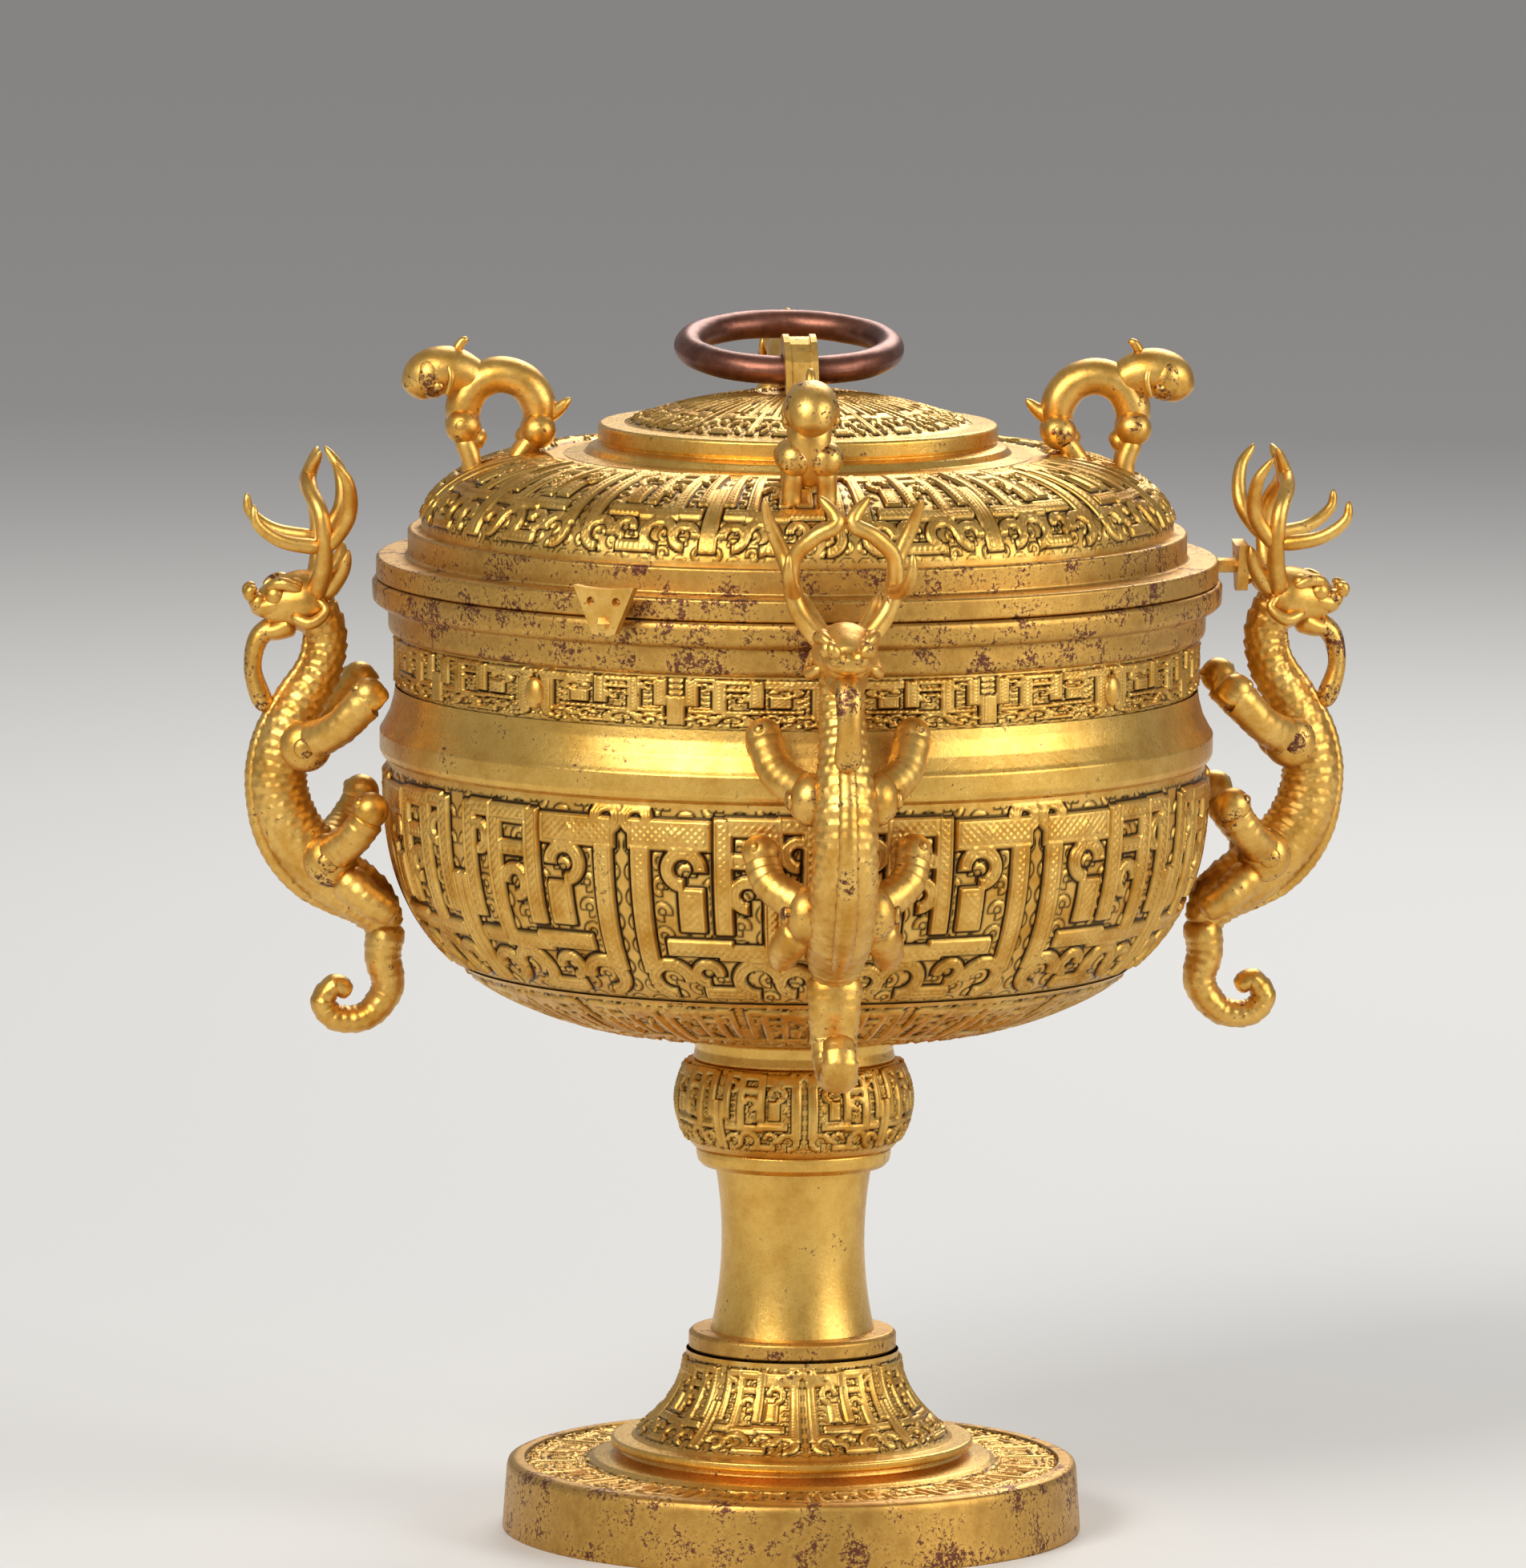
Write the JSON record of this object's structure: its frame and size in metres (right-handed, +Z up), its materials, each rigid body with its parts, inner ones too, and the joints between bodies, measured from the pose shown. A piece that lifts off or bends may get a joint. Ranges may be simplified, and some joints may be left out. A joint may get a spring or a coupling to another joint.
{
  "type": "covered stem cup",
  "caption": "Covered stem cup: round relief bowl on a waisted stem and disc foot, with dragon handles, beast knops and a ring on the lid.",
  "frame": {"origin": "middle of the underside of the foot", "axes": "+Z up along the cup's axis; the front dragon faces -Y and the right one +X"},
  "size_m": [0.2224, 0.2224, 0.2429],
  "materials": {
    "gilt_bronze": "fire gilding over cast relief, worn on the high points, dark grime in the grooves",
    "smooth_gilt": "satin gilding over a turned, plain surface",
    "worn_gilt": "thin gilding, speckled through to brown metal",
    "bare_copper": "bare copper-brown bronze, slightly hammered"
  },
  "bodies": {
    "cup": {"foot_disc": "worn_gilt", "foot_cone": "gilt_bronze", "lower_collar": "gilt_bronze", "stem": "smooth_gilt", "upper_ring": "gilt_bronze", "knob": "gilt_bronze", "upper_collar": "gilt_bronze", "tie_rod": "bare_copper", "bowl": "gilt_bronze", "dragon_right": "gilt_bronze", "dragon_rear": "gilt_bronze", "dragon_left": "gilt_bronze", "dragon_front": "gilt_bronze"},
    "lid": {"lid": "gilt_bronze", "crown": "gilt_bronze", "strap": "gilt_bronze", "beast_right": "gilt_bronze", "beast_rear": "gilt_bronze", "beast_left": "gilt_bronze", "beast_front": "gilt_bronze", "clasp_right": "worn_gilt", "clasp_rear": "worn_gilt", "clasp_front": "worn_gilt"},
    "ring": {"ring": "bare_copper"}
  },
  "joints": [
    {"name": "lid_lift", "type": "slide", "parent": "cup", "child": "lid", "axis": [0, 0, 1], "range_m": [0, 0.07]},
    {"name": "ring_swing", "type": "hinge", "parent": "lid", "child": "ring", "pos_m": [0, 0, 0.2343], "axis": [1, 0, 0], "range_deg": [-8, 171]}
  ]
}
